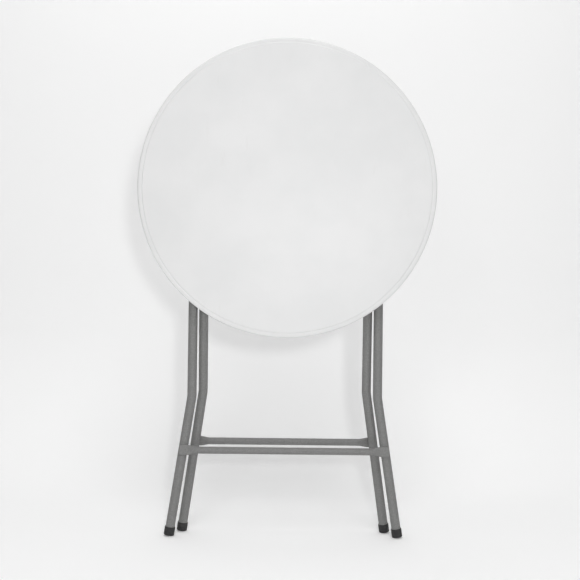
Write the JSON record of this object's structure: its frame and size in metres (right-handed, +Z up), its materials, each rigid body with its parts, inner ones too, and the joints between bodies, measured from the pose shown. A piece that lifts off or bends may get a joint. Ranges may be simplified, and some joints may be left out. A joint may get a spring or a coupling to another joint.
{
  "type": "folding cocktail table",
  "caption": "Tall round table, folded: moulded top hanging in front of two crossed tube frames, which open into an X and lock into clips under the top.",
  "frame": {"origin": "on the floor, in the middle of the folded table's outline", "axes": "+Z up along the folded frames, -Y out of the top's upper face, X across the table"},
  "size_m": [0.8, 0.1012, 1.3416],
  "materials": {
    "top": "white moulded polyethylene, fine satin grain",
    "powder_coat": "grey hammered powder coat",
    "rubber": "black, matt",
    "nylon": "black nylon",
    "zinc": "zinc plated"
  },
  "bodies": {
    "outer_frame": {"outer_top_tube": "powder_coat", "outer_crossbar": "powder_coat", "outer_leg_left": "powder_coat", "outer_foot_cap_left": "rubber", "leg_plug_left": "rubber", "pivot_pin_outer_left": "zinc", "pivot_spacer_left": "nylon", "hinge_bolt_left": "zinc", "hinge_nut_left": "zinc", "hinge_washer_left": "nylon", "outer_leg_right": "powder_coat", "outer_foot_cap_right": "rubber", "leg_plug_right": "rubber", "pivot_pin_outer_right": "zinc", "pivot_spacer_right": "nylon", "hinge_bolt_right": "zinc", "hinge_nut_right": "zinc", "hinge_washer_right": "nylon"},
    "top": {"tabletop": "top", "top_clip_left": "nylon", "hinge_bracket_left": "powder_coat", "bracket_screw_left_1": "zinc", "bracket_screw_left_2": "zinc", "clip_screw_left_1": "zinc", "clip_screw_left_2": "zinc", "top_clip_right": "nylon", "hinge_bracket_right": "powder_coat", "bracket_screw_right_1": "zinc", "bracket_screw_right_2": "zinc", "clip_screw_right_1": "zinc", "clip_screw_right_2": "zinc"},
    "sleeves": {"bar_sleeve_left": "nylon", "bar_sleeve_right": "nylon"},
    "inner_frame": {"inner_frame": "powder_coat", "inner_crossbar": "powder_coat", "inner_foot_cap_left": "rubber", "pivot_pin_inner_left": "zinc", "inner_foot_cap_right": "rubber", "pivot_pin_inner_right": "zinc"}
  },
  "joints": [
    {"name": "top_hinge", "type": "hinge", "parent": "outer_frame", "child": "top", "pos_m": [0, 0.02547, 1.16119], "axis": [-1, 0, 0], "range_deg": [0, 63]},
    {"name": "bar_slide", "type": "slide", "parent": "top", "child": "sleeves", "axis": [0, 0.0718, -0.9974], "range_m": [0, 0.4405]},
    {"name": "inner_fold", "type": "hinge", "parent": "sleeves", "child": "inner_frame", "pos_m": [0, -0.00615, 1.16119], "axis": [1, 0, 0], "range_deg": [0, 117.05]}
  ],
  "couplings": [
    {"joint": "bar_slide", "follows": "top_hinge", "m_per_rad": 0.4005},
    {"joint": "inner_fold", "follows": "top_hinge", "ratio": 1.8571}
  ]
}
